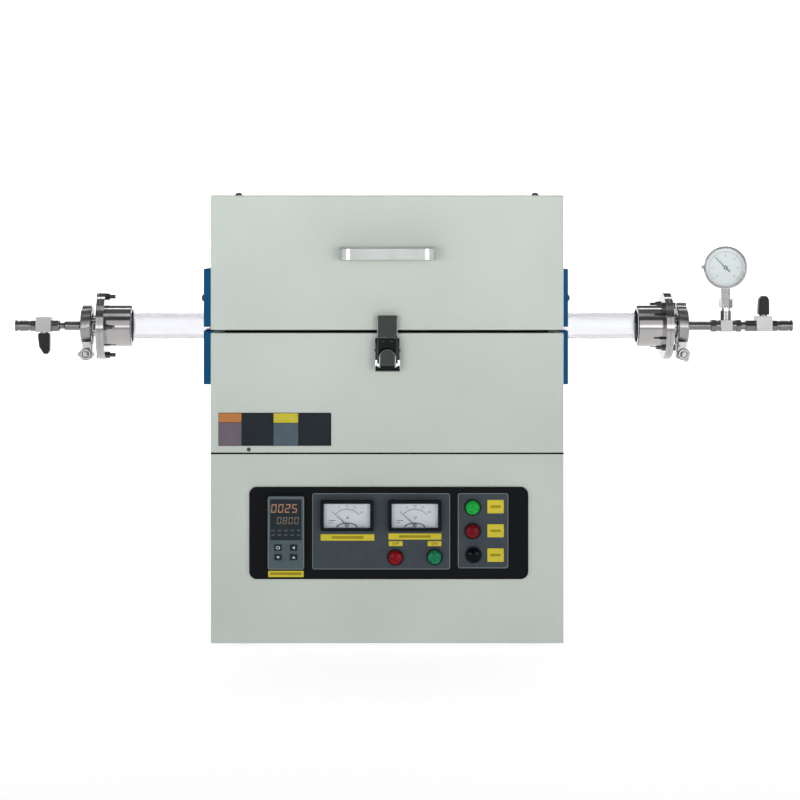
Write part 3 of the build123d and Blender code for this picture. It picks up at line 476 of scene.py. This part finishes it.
def lathe(bm, pts, place, seg=48, mat_index=0, closed=True):
    """Revolve (a, r) points; place(a, u, v) gives the position for axial a and radial u, v."""
    rings = []
    for a, r in pts:
        if r < 1e-9:
            rings.append([bm.verts.new(place(a, 0, 0))])
        else:
            rings.append([bm.verts.new(place(a, r * math.cos(2 * math.pi * i / seg), r * math.sin(2 * math.pi * i / seg)))
                          for i in range(seg)])
    pairs = list(zip(rings, rings[1:]))
    if closed:
        pairs.append((rings[-1], rings[0]))
    for A, B in pairs:
        if len(A) == 1 and len(B) == 1:
            continue
        for i in range(seg):
            j = (i + 1) % seg
            if len(A) == 1:
                f = bm.faces.new((A[0], B[j], B[i]))
            elif len(B) == 1:
                f = bm.faces.new((A[i], A[j], B[0]))
            else:
                f = bm.faces.new((A[i], A[j], B[j], B[i]))
            f.material_index = mat_index


def along_y(x, z):
    return lambda a, u, v: P(x + u, a, z + v)


def along_x(y=0.0, z=ZA):
    return lambda a, u, v: P(a, y + u, z + v)


def along_z(x, y):
    return lambda a, u, v: P(x + u, y + v, a)


def tube_path(bm, pts, r, seg=8, closed_ends=True, mat_index=0):
    """Round tube along a list of points in mm."""
    vs = [Vector(p) for p in pts]
    rings = []
    prev = None
    for i, p in enumerate(vs):
        t = (vs[min(i + 1, len(vs) - 1)] - vs[max(i - 1, 0)]).normalized()
        if prev is None:
            up = Vector((0, 0, 1)) if abs(t.z) < 0.9 else Vector((1, 0, 0))
            nrm = t.cross(up).normalized()
        else:
            nrm = (prev - t * prev.dot(t)).normalized()
        prev = nrm
        bi = t.cross(nrm)
        rings.append([bm.verts.new(P(*(p + (nrm * math.cos(a) + bi * math.sin(a)) * r)))
                      for a in (2 * math.pi * k / seg for k in range(seg))])
    for A, B in zip(rings, rings[1:]):
        for i in range(seg):
            j = (i + 1) % seg
            f = bm.faces.new((A[i], A[j], B[j], B[i]))
            f.material_index = mat_index
    if closed_ends:
        bm.faces.new(list(reversed(rings[0])))
        bm.faces.new(rings[-1])


def stroke(bm, pts, w, y0, y1, mat_index=0):
    """Flat printed line through (x, z) points, w wide."""
    for (x0, z0), (x1, z1) in zip(pts, pts[1:]):
        d = Vector((x1 - x0, z1 - z0))
        if d.length < 1e-6:
            continue
        d.normalize()
        nx, nz = -d.y * w / 2, d.x * w / 2
        extrude_xz(bm, [(x0 + nx, z0 + nz), (x0 - nx, z0 - nz), (x1 - nx, z1 - nz), (x1 + nx, z1 + nz)],
                   y0, y1, 0.0, mat_index)


DEJA = None


def text_mesh(bm, s, x, z, size, y0, depth=0.08, mat_index=0, align="CENTER"):
    """Generic numerals and unit letters, as thin raised print."""
    cu = bpy.data.curves.new("t", "FONT")
    cu.body = s
    cu.size = size
    cu.align_x = align
    cu.align_y = "CENTER"
    cu.extrude = depth / 2
    ob = bpy.data.objects.new("t", cu)
    bpy.context.scene.collection.objects.link(ob)
    bpy.context.view_layer.update()
    me = bpy.data.meshes.new_from_object(ob.evaluated_get(bpy.context.evaluated_depsgraph_get()))
    tmp = bmesh.new()
    tmp.from_mesh(me)
    vmap = {}
    for v in tmp.verts:
        vmap[v.index] = bm.verts.new(P(x + v.co.x, y0 + depth / 2 - v.co.z, z + v.co.y))
    for f in tmp.faces:
        try:
            nf = bm.faces.new([vmap[v.index] for v in f.verts])
            nf.material_index = mat_index
        except ValueError:
            pass
    tmp.free()
    bpy.data.objects.remove(ob)
    bpy.data.curves.remove(cu)
    bpy.data.meshes.remove(me)


SEGS = {"0": "abcdef", "1": "bc", "2": "abged", "3": "abgcd", "4": "fgbc", "5": "afgcd", "6": "afgedc",
        "7": "abc", "8": "abcdefg", "9": "abcdfg", "-": "g", " ": ""}


def seven(bm, s, x, z, w, h, pitch, y0, y1, t, mat_index=0, slant=0.10):
    """Seven-segment digits, left edge x, bottom z."""
    for k, ch in enumerate(s):
        x0 = x + k * pitch

        def q(u, v):
            return (x0 + u + slant * v, z + v)
        g = t * 0.15
        shapes = {
            "a": [(g, h), (w - g, h), (w - t, h - t), (t, h - t)],
            "d": [(g, 0), (t, t), (w - t, t), (w - g, 0)],
            "g": [(t * 0.6, h / 2), (t, h / 2 + t / 2), (w - t, h / 2 + t / 2), (w - t * 0.6, h / 2),
                  (w - t, h / 2 - t / 2), (t, h / 2 - t / 2)],
            "f": [(0, h - g), (t, h - t - g), (t, h / 2 + t / 2 + g), (0, h / 2 + g)],
            "e": [(0, g), (0, h / 2 - g), (t, h / 2 - t / 2 - g), (t, t + g)],
            "b": [(w, h - g), (w, h / 2 + g), (w - t, h / 2 + t / 2 + g), (w - t, h - t - g)],
            "c": [(w, g), (w - t, t + g), (w - t, h / 2 - t / 2 - g), (w, h / 2 - g)],
        }
        for name in SEGS[ch]:
            extrude_xz(bm, [q(u, v) for u, v in shapes[name]], y0, y1, 0.0, mat_index)


# ------------------------------------------------------------ control panel
YF = -180.0
YP = YF - 2.0
YI = YP - 0.6
YT = YI - 0.4
AM, VM = (-53.1, 175.5), (36.2, 175.5)
CTRL = (-133.45, 152.8)
LAMP_GREEN, LAMP_RED = (112.5, 185.7), (112.5, 154.5)
HOLES = [(10.7, 119.9), (62.3, 120.4), LAMP_GREEN, LAMP_RED, (113.6, 123.2)]


def panel_sheet(name, x0, x1, z0, z1, r, rects, rounds):
    """Inlay sheet with real holes, cut by boolean solids."""
    bm = bmesh.new()
    plate(bm, (x0 + x1) / 2, (z0 + z1) / 2, x1 - x0, z1 - z0, r, YI, YP, 0.12)
    o = finish_mesh(name, bm, "inlay", "furnace_base", smooth=False)
    cb = bmesh.new()
    for x, z, w, h in rects:
        plate(cb, x, z, w, h, 0.4, YI - 2, YP + 2)
    for x, z, rr in rounds:
        disc(cb, x, z, rr, YI - 2, YP + 2, 40)
    bmesh.ops.recalc_face_normals(cb, faces=cb.faces)
    me = bpy.data.meshes.new("cut")
    cb.to_mesh(me)
    cb.free()
    c = bpy.data.objects.new("cut", me)
    bpy.context.scene.collection.objects.link(c)
    md = o.modifiers.new("holes", "BOOLEAN")
    md.operation = "DIFFERENCE"
    md.solver = "EXACT"
    md.object = c
    bpy.context.view_layer.update()
    me2 = bpy.data.meshes.new_from_object(o.evaluated_get(bpy.context.evaluated_depsgraph_get()))
    o.modifiers.clear()
    o.data = me2
    o.data.materials.clear()
    o.data.materials.append(M["inlay"])
    bpy.data.objects.remove(c)
    return o


inlay_mid = panel_sheet("inlay_middle", -98.9, 83.0, 104.0, 204.5, 3.0,
                        [(AM[0], AM[1], 60, 33), (VM[0], VM[1], 60, 33)],
                        [(HOLES[0][0], HOLES[0][1], 8.1), (HOLES[1][0], HOLES[1][1], 8.1)])
inlay_right = panel_sheet("inlay_right", 93.0, 159.7, 105.5, 204.5, 3.0, [],
                          [(h[0], h[1], 8.1) for h in HOLES[2:]])
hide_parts("panel_overlays")
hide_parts("panel_overlays")

bm = bmesh.new()
frame_line(bm, -7.95, 154.25, 181.5, 100.1, 3.0, 0.75, YI - 0.12, YI)
frame_line(bm, 126.35, 155.0, 66.3, 98.6, 3.0, 0.75, YI - 0.12, YI)
finish_mesh("inlay_borders", bm, "line", "furnace_base", smooth=False)

TAGS = [(-87.8, -17.0, 142.0, 150.5), (1.5, 71.4, 143.4, 151.5), (2.1, 20.3, 134.8, 141.4),
        (53.2, 71.4, 134.8, 141.4), (132.0, 153.6, 178.0, 195.7), (132.0, 153.6, 146.4, 163.6),
        (132.0, 153.6, 114.1, 131.8)]
bm = bmesh.new()
for x0, x1, z0, z1 in TAGS:
    plate(bm, (x0 + x1) / 2, (z0 + z1) / 2, x1 - x0, z1 - z0, 0.8, YT, YI, 0.15)
plate(bm, -133.6, 98.0, 46.8, 8.3, 0.8, YP - 0.4, YP, 0.15)
tags = finish_mesh("yellow_tags", bm, "tag", "furnace_base", smooth=False)
bm = bmesh.new()
for (x0, x1, z0, z1), s, size in ((TAGS[2], "OFF", 5.2), (TAGS[3], "ON", 5.2)):
    text_mesh(bm, s, (x0 + x1) / 2, (z0 + z1) / 2, size, YT - 0.05, 0.05)
finish_mesh("tag_printing", bm, "ink", "furnace_base", smooth=False)
bm = bmesh.new()
for (x0, x1, z0, z1), w, h in ((TAGS[0], 42.0, 3.2), (TAGS[1], 42.0, 3.2), (TAGS[4], 13.5, 3.6), (TAGS[5], 13.5, 3.2),
                               (TAGS[6], 13.5, 3.2)):
    plate(bm, (x0 + x1) / 2, (z0 + z1) / 2, w, h, 0.8, YT - 0.05, YT)
plate(bm, -133.6, 98.3, 41.0, 3.4, 0.8, YP - 0.45, YP - 0.4)
finish_mesh("tag_bars", bm, "bar", "furnace_base", smooth=False)

# colour strip on the lower half: plain fields
bm = bmesh.new()
plate(bm, -148.3, 288.5, 149.0, 43.8, 0.8, YF - 0.4, YF, 0.1, 0)
x_of = lambda px: (px - 387.2) * 1.32
fields = [(218.9, 241.4, 413.7, 422.7, 1), (218.9, 241.4, 423.2, 446.0, 2),
          (273.6, 298.1, 413.7, 423.2, 3), (273.6, 298.1, 423.7, 446.0, 4)]
for a, c, t, u, mi in fields:
    x0, x1 = x_of(a), x_of(c)
    z1, z0 = (643.8 - t) * 1.32 + 6, (643.8 - u) * 1.32 + 6
    plate(bm, (x0 + x1) / 2, (z0 + z1) / 2, x1 - x0, z1 - z0, 0.5, YF - 0.5, YF - 0.4, 0.0, mi)
strip = finish_mesh("colour_strip", bm, "strip_base", "furnace_base", smooth=False,
                    extra=("strip_orange", "strip_pink", "strip_yellow", "strip_blue"))

# painted shade: a black strip standing in for the shadow in the seam between the cabinet and the lower furnace half
bm = bmesh.new()
for x0, x1, y0, y1 in ((-233.05, 233.05, YF - 0.05, YF + 2.0), (-233.05, 233.05, 178.0, 180.05),
                       (-233.05, -231.0, YF, 180.0), (231.0, 233.05, YF, 180.0)):
    r = bmesh.ops.create_cube(bm, size=1.0)
    bmesh.ops.scale(bm, verts=r["verts"], vec=((x1 - x0) / 1000, (y1 - y0) / 1000, 0.0023))
    bmesh.ops.translate(bm, verts=r["verts"], vec=P((x0 + x1) / 2, (y0 + y1) / 2, 256.7))
finish_mesh("cabinet_seam_shade", bm, "gap", "furnace_base", smooth=False)

# controller face: border line, indicator rows, digits
YC = YP - 7.0
bm = bmesh.new()
frame_line(bm, CTRL[0], CTRL[1], 47.2, 95.2, 2.2, 0.7, YC - 0.12, YC)
finish_mesh("controller_border", bm, "line", "furnace_base", smooth=False)
YW = YP - 6.5
bm = bmesh.new()
seven(bm, "0025", -153.2, 179.6, 6.6, 11.2, 9.1, YW - 0.1, YW, 1.35, 0)
seven(bm, "0800", -145.6, 164.6, 5.6, 9.2, 7.6, YW - 0.1, YW, 1.1, 1)
for row in range(2):
    for k in range(5):
        plate(bm, -150.4 + k * 8.4, 156.2 - row * 6.0, 4.4, 1.5, 0.3, YW - 0.08, YW, 0.0, 2)
finish_mesh("controller_digits", bm, "seg_hot", "furnace_base", smooth=False,
            extra=("seg_dim", "led_dim"))
bm = bmesh.new()
for name, (x, z) in {"key_set": (-143.8, 133.6), "key_shift": (-123.2, 133.6),
                     "key_down": (-143.8, 121.0), "key_up": (-123.2, 121.0)}.items():
    kb = bmesh.new()
    yk = YP - 7.9
    if name == "key_up":
        extrude_xz(kb, [(x - 2.2, z - 1.4), (x + 2.2, z - 1.4), (x, z + 1.9)], yk - 0.06, yk)
    elif name == "key_down":
        extrude_xz(kb, [(x - 2.2, z + 1.4), (x, z - 1.9), (x + 2.2, z + 1.4)], yk - 0.06, yk)
    elif name == "key_shift":
        extrude_xz(kb, [(x - 2.0, z), (x + 1.5, z - 2.1), (x + 1.5, z + 2.1)], yk - 0.06, yk)
    else:
        frame_line(kb, x, z, 5.0, 4.0, 1.2, 0.8, yk - 0.06, yk)
    finish_mesh(name + "_mark", kb, "white_ink", name, smooth=False)
bm.free()


# meter dials: arc, ticks, numerals, unit letter, and the movement's white cap at the bottom
def meter_print(name, c, unit, numbers):
    x, z = c[0], c[1] - 12.5
    y1 = YI - 3.2
    y0 = y1 - 0.05
    bm = bmesh.new()
    R = 20.6
    arc = [(x + R * math.sin(math.radians(a)), z + R * math.cos(math.radians(a))) for a in range(-48, 49, 4)]
    stroke(bm, arc, 0.55, y0, y1)
    for i in range(0, 21):
        a = math.radians(-48 + 96 * i / 20)
        big = i % 5 == 0
        r1 = R + (2.4 if big else 1.4)
        stroke(bm, [(x + R * math.sin(a), z + R * math.cos(a)), (x + r1 * math.sin(a), z + r1 * math.cos(a))],
               0.42 if big else 0.22, y0, y1)
    for i, s in enumerate(numbers):
        a = math.radians(-48 + 96 * i / (len(numbers) - 1))
        text_mesh(bm, s, x + (R + 5.2) * math.sin(a), z + (R + 4.7) * math.cos(a), 3.4, y0, 0.05)
    plate(bm, x - 19.6, c[1] - 6.6, 9.0, 0.9, 0.3, y0, y1)
    plate(bm, x - 21.6, c[1] - 9.6, 5.0, 0.8, 0.3, y0, y1)
    finish_mesh(name, bm, "ink_meter", "furnace_base", smooth=False)
    bm = bmesh.new()
    text_mesh(bm, unit, x + 0.8, c[1] - 3.2, 6.6, y0, 0.05)
    finish_mesh(name + "_unit", bm, "ink", "furnace_base", smooth=False)
    bm = bmesh.new()
    for k, (a, b, ya, yb) in enumerate(((14.0, 6.2, YI - 3.35, YI - 3.25), (11.8, 4.7, YI - 3.6, YI - 3.35))):
        pts = [(x + a * math.cos(math.pi * i / 24), c[1] - 15.4 + b * math.sin(math.pi * i / 24)) for i in range(25)]
        extrude_xz(bm, pts, ya, yb, 0.0, k)
    finish_mesh(name + "_cap", bm, "ink_meter", "furnace_base", smooth=False, extra=("dial",))


meter_print("ammeter_print", AM, "A", ["0", "5", "10", "15", "20"])
meter_print("voltmeter_print", VM, "V", ["0", "75", "150", "225", "300"])

# pilot lamps stand in for the CAD caps, one colour each
YB = YI
for name, (x, z), mat in (("pilot_green", LAMP_GREEN, "green_lit"), ("pilot_red", LAMP_RED, "red_dark")):
    bm = bmesh.new()
    f = 5.6
    pts = [(YB - f, 0), (YB - f + 0.05, 2.0), (YB - f + 0.15, 3.5), (YB - f + 0.45, 5.2), (YB - f + 0.9, 6.6),
           (YB - f + 1.5, 7.8), (YB - f + 2.2, 8.6), (YB - f + 2.7, 9.05), (YB - f + 3.2, 9.3), (YB - 1.9, 9.3),
           (YB - 1.9, 6.92), (-166, 6.92), (-166, 0)]
    lathe(bm, pts, along_y(x, z), 64, 0, False)
    o = finish_mesh(name, bm, mat, "furnace_base")
    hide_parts("pilot_lamps")


# --------------------------------------------------------- heating elements
def coil(name, node, body, sign):
    """Wound resistance wire along the serpentine of one half."""
    rods = []
    for i in range(7):
        a = math.radians(200 + i * 140 / 6)
        rods.append((36 * math.cos(a), sign * 36 * math.sin(a)))
    path = []
    for i, (y, z) in enumerate(rods):
        xs = [-145 + 290 * k / 60 for k in range(61)]
        if i % 2:
            xs.reverse()
        path += [Vector((x, y, z)) for x in xs]
        if i < 6:
            y1, z1 = rods[i + 1]
            s = 1 if i % 2 == 0 else -1
            mid = Vector((s * 145, (y + y1) / 2, (z + z1) / 2))
            rad = Vector((0, y - mid.y, z - mid.z))
            for k in range(1, 12):
                t = math.pi * k / 12
                path.append(mid + rad * math.cos(t) + Vector((s * rad.length, 0, 0)) * math.sin(t))
    # helix around the path
    bm = bmesh.new()
    length = [0.0]
    for a, b in zip(path, path[1:]):
        length.append(length[-1] + (b - a).length)
    total = length[-1]
    pitch, R, wire = 3.4, 3.1, 0.8
    steps = int(total / pitch * 10)
    pts = []
    j = 0
    nrm = Vector((0, 0, 1))
    for k in range(steps + 1):
        s = total * k / steps
        while j < len(length) - 2 and length[j + 1] < s:
            j += 1
        f = (s - length[j]) / max(length[j + 1] - length[j], 1e-9)
        c = path[j].lerp(path[j + 1], f)
        t = (path[j + 1] - path[j]).normalized()
        nrm = (nrm - t * nrm.dot(t)).normalized()
        bi = t.cross(nrm)
        a = 2 * math.pi * s / pitch
        q = c + (nrm * math.cos(a) + bi * math.sin(a)) * R
        pts.append((q.x, q.y, q.z + ZA))
    tube_path(bm, pts, wire, 5)
    for (y, z), x in ((rods[0], -145), (rods[-1], 145)):
        zt = -173.6 if sign > 0 else 170.4
        tube_path(bm, [(x, y, z + ZA - sign * 2), (x, y, ZA + zt / 2), (x, y, ZA + zt)], 2.9, 12)
    o = finish_mesh(name, bm, "wire", body)
    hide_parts(node)
    return o


coil("lower_coil", "lower_heating_element", "furnace_base", 1)
coil("upper_coil", "upper_heating_element", "lid", -1)


# ------------------------------------------------------------ pressure gauge
GX, GZ = 480.9, 499.5
TURN = math.radians(-10.75)


def turned(bm):
    """Turn what is drawn on the gauge with its face, about the gauge's stem."""
    c = P(GX, 0, 0)
    bmesh.ops.rotate(bm, verts=bm.verts, cent=c, matrix=Matrix.Rotation(TURN, 3, "Z"))


bm = bmesh.new()
y1 = -9.4
y0 = y1 - 0.05
R = 22.8
arc = [(GX + R * math.sin(math.radians(a)), GZ + R * math.cos(math.radians(a))) for a in range(-135, 136, 5)]
stroke(bm, arc, 0.3, y0, y1)
for i in range(0, 31):
    a = math.radians(-135 + 270 * i / 30)
    big = i % 5 == 0
    r1 = R - (3.4 if big else 1.8)
    stroke(bm, [(GX + R * math.sin(a), GZ + R * math.cos(a)), (GX + r1 * math.sin(a), GZ + r1 * math.cos(a))],
           0.4 if big else 0.2, y0, y1)
for i, t in enumerate(["0", "1", "2", "3", "4", "5", "6"]):
    a = math.radians(-135 + 270 * i / 6)
    text_mesh(bm, t, GX + (R - 6.2) * math.sin(a), GZ + (R - 6.2) * math.cos(a), 4.2, y0, 0.05)
turned(bm)
finish_mesh("gauge_print", bm, "ink_gauge", "furnace_base", smooth=False)

# ------------------------------------------------------------------- staging
bm = bmesh.new()
prof = [(-7.0, 0.0)]
for i in range(0, 13):
    a = math.pi / 2 * i / 12
    prof.append((3.2 + 1.2 * math.sin(a), 1.2 - 1.2 * math.cos(a)))
prof.append((4.4, 2.6))
rows = [[bm.verts.new((x, y, z)) for x in (-7.0, 7.0)] for y, z in prof]
for a, b in zip(rows, rows[1:]):
    bm.faces.new((a[0], a[1], b[1], b[0]))
me = bpy.data.meshes.new("backdrop")
bm.to_mesh(me)
bm.free()
for p in me.polygons:
    p.use_smooth = True
floor = bpy.data.objects.new("backdrop", me)
bpy.context.scene.collection.objects.link(floor)
m, nt, b = new_mat("backdrop_paper")
c = ramp(nt, noise(nt, coords(nt), 1.2, 2.0), [(0.3, (0.80, 0.80, 0.80, 1)), (0.7, (0.84, 0.84, 0.84, 1))])
sx = nt.nodes.new("ShaderNodeSeparateXYZ")
link(nt, coords(nt), sx.inputs["Vector"])
fall = nt.nodes.new("ShaderNodeMapRange")
fall.inputs["From Min"].default_value = -1.9
fall.inputs["From Max"].default_value = -1.0
link(nt, sx.outputs["Y"], fall.inputs["Value"])
fr = ramp(nt, fall.outputs["Result"], [(0.0, (0.56, 0.56, 0.56, 1)), (1.0, (1, 1, 1, 1))])
mx = nt.nodes.new("ShaderNodeMix")
mx.data_type = "RGBA"
mx.blend_type = "MULTIPLY"
mx.inputs["Factor"].default_value = 1.0
link(nt, c, mx.inputs["A"])
link(nt, fr, mx.inputs["B"])
link(nt, mx.outputs["Result"], b.inputs["Base Color"])
b.inputs["Roughness"].default_value = 0.9
b.inputs["Specular IOR Level"].default_value = 0.1
link(nt, fr, b.inputs["Emission Color"])
b.inputs["Emission Strength"].default_value = 0.715
me.materials.append(m)

# studio: a dim room, brighter low down, so that bright metal shows a dark upper half
world = bpy.data.worlds.new("studio")
bpy.context.scene.world = world
world.use_nodes = True
wt = world.node_tree
bg = wt.nodes["Background"]
geo = wt.nodes.new("ShaderNodeTexCoord")
sep = wt.nodes.new("ShaderNodeSeparateXYZ")
wt.links.new(geo.outputs["Generated"], sep.inputs["Vector"])
wr = wt.nodes.new("ShaderNodeValToRGB")
wr.color_ramp.elements[0].position = 0.0
wr.color_ramp.elements[0].color = (0.55, 0.56, 0.57, 1)
wr.color_ramp.elements[1].position = 1.0
wr.color_ramp.elements[1].color = (0.15, 0.155, 0.165, 1)
for pos, v in ((0.49, 0.4), (0.53, 0.22), (0.62, 0.09), (0.80, 0.08)):
    e = wr.color_ramp.elements.new(pos)
    e.color = (v, v, v * 1.03, 1)
mr = wt.nodes.new("ShaderNodeMapRange")
mr.inputs["From Min"].default_value = -1.0
mr.inputs["From Max"].default_value = 1.0
wt.links.new(sep.outputs["Z"], mr.inputs["Value"])
wt.links.new(mr.outputs["Result"], wr.inputs["Fac"])
wt.links.new(wr.outputs["Color"], bg.inputs["Color"])
bg.inputs["Strength"].default_value = 1.0


def area(name, loc, target, size, power, size_y=None, col=(1, 1, 1), spread=180):
    l = bpy.data.lights.new(name, "AREA")
    l.shape = "RECTANGLE"
    l.size = size
    l.size_y = size_y or size
    l.energy = power
    l.color = col
    l.spread = math.radians(spread)
    o = bpy.data.objects.new(name, l)
    bpy.context.scene.collection.objects.link(o)
    o.location = loc
    o.rotation_euler = (Vector(target) - Vector(loc)).to_track_quat("-Z", "Y").to_euler()
    return o


area("softbox_left", (-1.65, -3.3, 0.80), (0, -0.1, 1.36), 2.1, 6.0, 1.5, spread=48)
area("softbox_right", (1.65, -3.3, 0.80), (0, -0.1, 1.36), 2.1, 6.0, 1.5, spread=48)
area("side_left", (-2.9, -0.9, 0.75), (0, -0.1, 0.45), 2.2, 8, 1.4)
area("side_right", (2.9, -0.9, 0.75), (0, -0.1, 0.45), 2.2, 8, 1.4)
area("top_soft", (0.0, -1.4, 3.4), (0, -0.2, 0.4), 1.6, 6, 1.0)
area("back_wash", (0.0, 1.5, 3.6), (0, 4.2, 0.4), 6.0, 64, 1.2)
# cards that only bright metal mirrors: they put the light band across the middle of the flanges and pipes
for side, x in (("left", -0.97), ("right", 0.97)):
    area("card_" + side, (x, -3.0, 1.2), (x, 0, 1.2), 0.86, 5.2, 2.2)
    bpy.data.objects["card_" + side].visible_diffuse = False

cam_data = bpy.data.cameras.new("camera")
cam_data.sensor_width = 36.0
CAM_D = 2670.0
cam_data.lens = CAM_D / 1.32 / 800 * 36.0
cam_data.shift_x = (400 - (387.2 - 60 / 1.32)) / 800
cam_data.shift_y = (239.7 - 400) / 800
cam_data.clip_end = 60
cam = bpy.data.objects.new("camera", cam_data)
bpy.context.scene.collection.objects.link(cam)
cam.location = P(-60, -180 - CAM_D, 538.8)
cam.rotation_euler = (math.radians(90), 0, 0)
bpy.context.scene.camera = cam
bpy.context.scene.view_settings.view_transform = "Standard"
bpy.context.scene.view_settings.look = "None"
